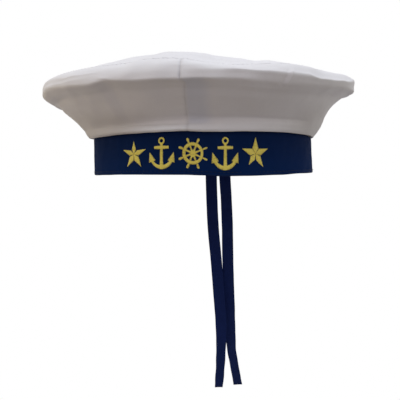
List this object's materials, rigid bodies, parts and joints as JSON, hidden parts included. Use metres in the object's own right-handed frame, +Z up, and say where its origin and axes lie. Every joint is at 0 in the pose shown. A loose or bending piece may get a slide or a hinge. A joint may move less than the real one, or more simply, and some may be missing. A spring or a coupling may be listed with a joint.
{
  "type": "sailor cap with ribbon tails",
  "caption": "Wide soft white crown of side panels and a domed tip, on a navy head band with two navy ribbon tails hanging at the back.",
  "frame": {"origin": "the middle of the head opening, level with the head band's lower edge", "axes": "+Z up through the crown, -Y to the front of the cap, +X to the viewer's right when the front is seen"},
  "size_m": [0.2606, 0.2657, 0.3182],
  "materials": {
    "white_crown_cloth": "matt plain weave",
    "navy_band_cloth": "matt close weave with gold embroidery",
    "navy_ribbon": "satin ribbon"
  },
  "bodies": {
    "root": {"head_band": "navy_band_cloth", "side_panel_back_left": "white_crown_cloth", "side_panel_front_left": "white_crown_cloth", "side_panel_front_right": "white_crown_cloth", "side_panel_back_right": "white_crown_cloth", "crown_tip": "white_crown_cloth", "ribbon_left": "navy_ribbon", "ribbon_right": "navy_ribbon"}
  },
  "joints": []
}
